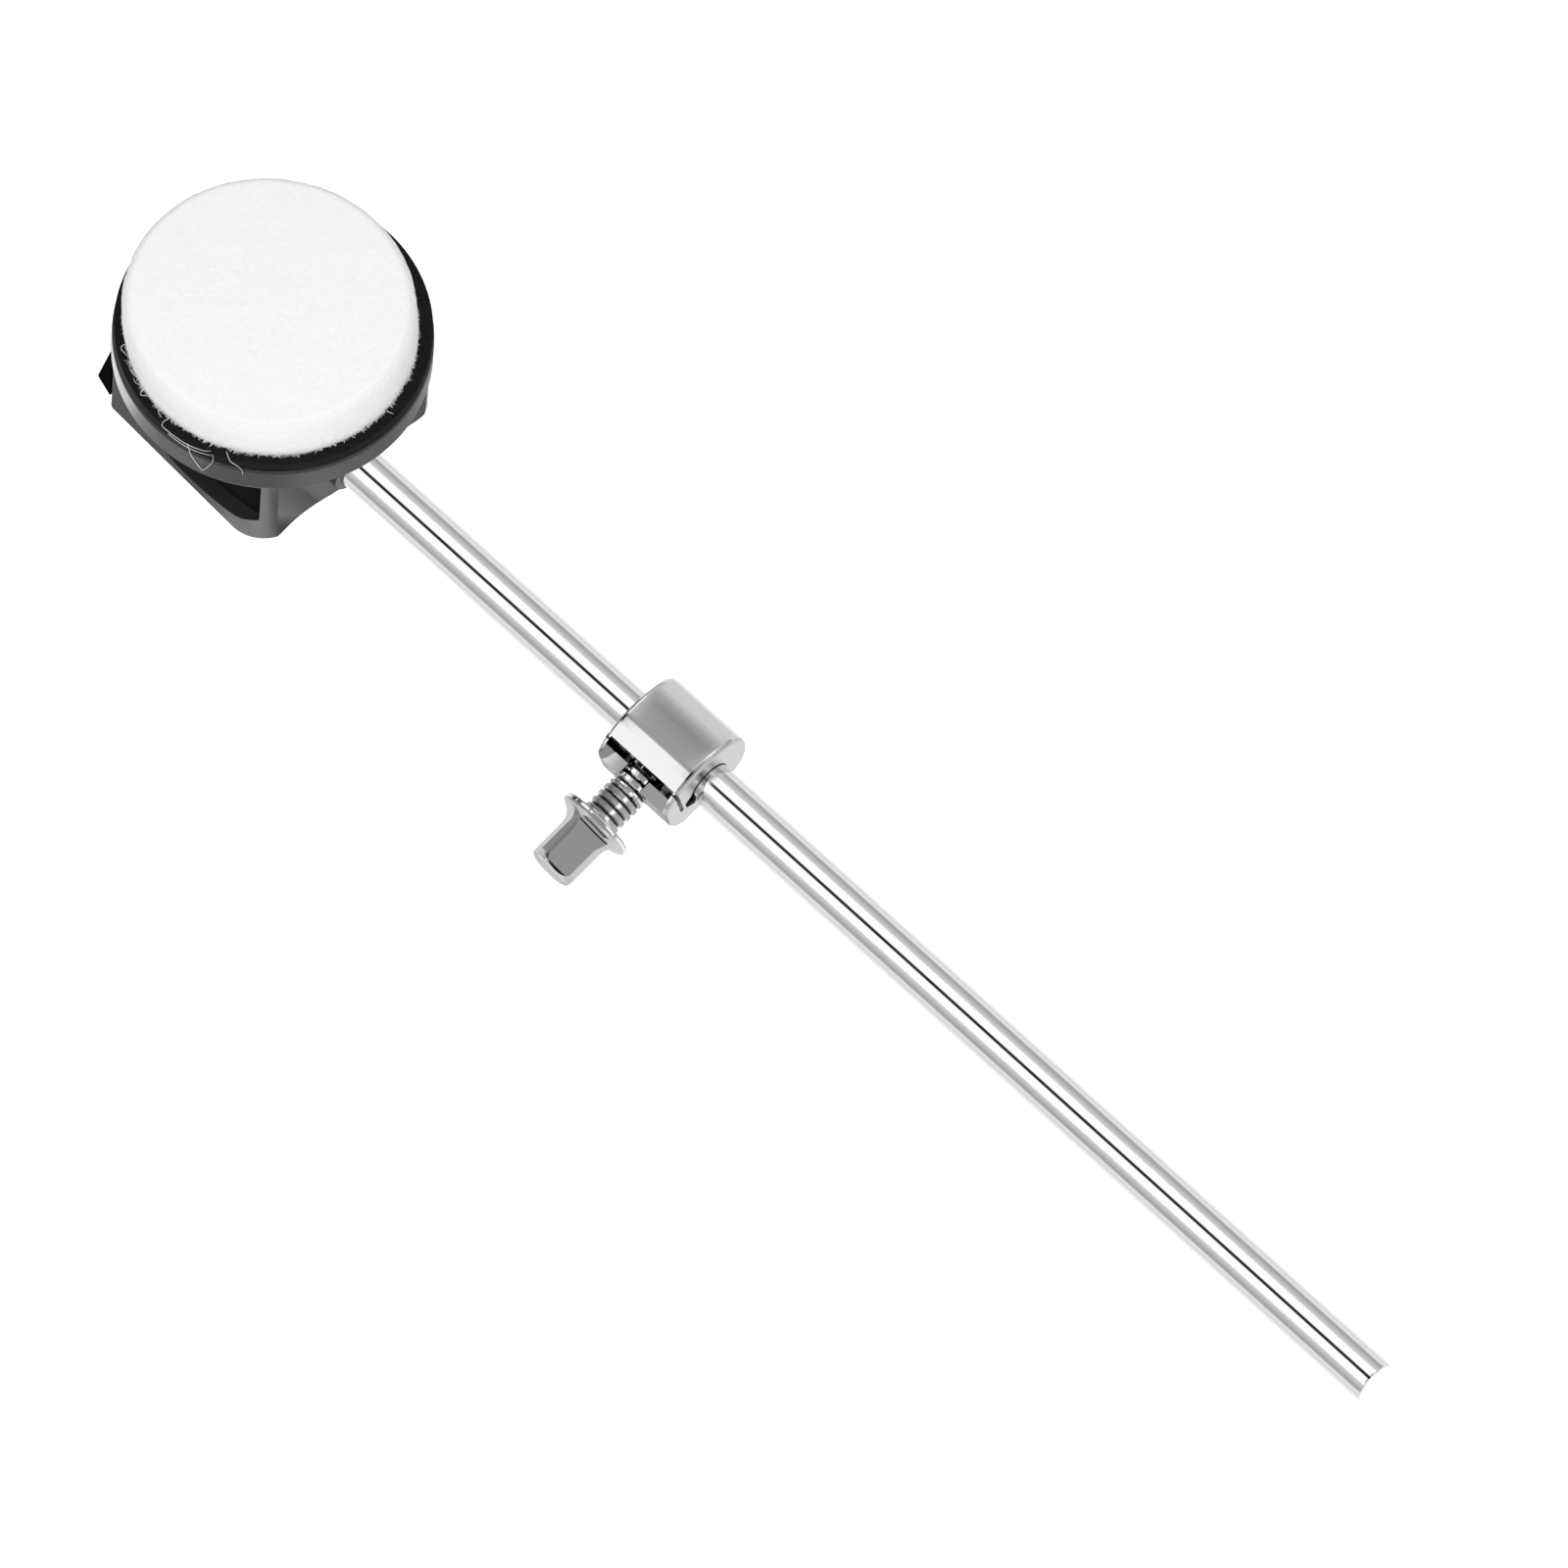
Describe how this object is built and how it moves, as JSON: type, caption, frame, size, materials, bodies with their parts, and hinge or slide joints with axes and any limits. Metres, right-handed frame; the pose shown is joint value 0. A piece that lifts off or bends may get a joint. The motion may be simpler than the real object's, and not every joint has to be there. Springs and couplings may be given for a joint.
{
  "type": "bass drum beater",
  "caption": "Bass drum beater with a round white felt face on an open moulded head, a chromed shaft and a sliding memory lock held by a drum-key screw.",
  "frame": {"origin": "the free tip of the shaft, on the shaft's axis, where the pedal's hub slides on", "axes": "+X along the shaft from the tip to the head, +Z the way the felt faces, +Y to the side of the windows that the lock screw points to"},
  "size_m": [0.2892, 0.0559, 0.0388],
  "materials": {
    "felt": "dense white wool felt, slightly fuzzy at the edge",
    "backing": "matte black, with short fibres",
    "plastic": "dark grey satin moulded plastic",
    "brass": "turned brass, hidden inside the head",
    "chrome": "bright chrome plate on steel"
  },
  "bodies": {
    "beater": {"felt_pad": "felt", "pad_backing": "backing", "head_frame": "plastic", "end_cap": "backing", "socket_insert": "brass", "shaft": "chrome"},
    "lock": {"lock_collar": "chrome"},
    "screw": {"lock_screw": "chrome"}
  },
  "joints": [
    {"name": "lock_slide", "type": "slide", "parent": "beater", "child": "lock", "axis": [1, 0, 0], "range_m": [-0.15, 0.066]},
    {"name": "lock_screw_turn", "type": "hinge", "parent": "lock", "child": "screw", "pos_m": [0.1667, 0, 0], "axis": [0, 0.969, -0.247], "range_deg": [0, 540]}
  ]
}
